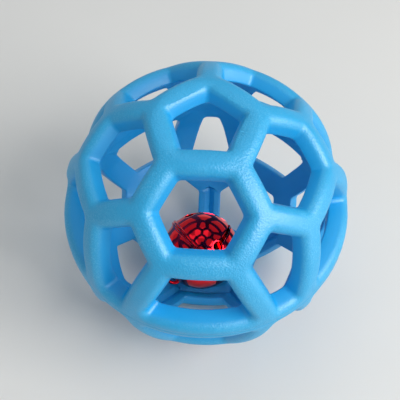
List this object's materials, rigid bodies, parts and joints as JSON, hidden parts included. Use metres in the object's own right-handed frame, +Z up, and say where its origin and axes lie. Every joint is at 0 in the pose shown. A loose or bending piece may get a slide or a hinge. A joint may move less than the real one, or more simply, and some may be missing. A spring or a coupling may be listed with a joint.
{
  "type": "rubber lattice dog ball",
  "caption": "Hollow rubber lattice ball for a dog, two bonded half shells with pentagon, hexagon and trapezoid holes, and a loose jingle bell that bounces inside.",
  "frame": {"origin": "on the floor, under the middle of the ball, in the plane of the lower pole ring's flat", "axes": "+Z up along the lattice's five-fold axis, -Y towards the six-sided hole that faces the viewer, +X to the viewer's right"},
  "size_m": [0.0898, 0.09, 0.0852],
  "materials": {
    "rubber": "soft satin, fine pebbled grain",
    "bell_shell": "mirror-bright red lacquer over pressed steel",
    "bell_wire": "the same red lacquer over drawn wire",
    "pellet": "plain steel ball"
  },
  "bodies": {
    "ball": {"upper_half_shell": "rubber", "lower_half_shell": "rubber"},
    "bell": {"bell_crown_half": "bell_shell", "bell_slotted_half": "bell_shell", "bell_loop": "bell_wire"},
    "pellet": {"bell_pellet": "pellet"}
  },
  "joints": [
    {"name": "bell_bounce", "type": "slide", "parent": "ball", "child": "bell", "axis": [0, 0, 1], "range_m": [0, 0.0521]},
    {"name": "pellet_roll", "type": "hinge", "parent": "bell", "child": "pellet", "pos_m": [-0.00165, -0.00227, 0.01606], "axis": [0.7431, 0.6691, 0], "continuous": true}
  ]
}
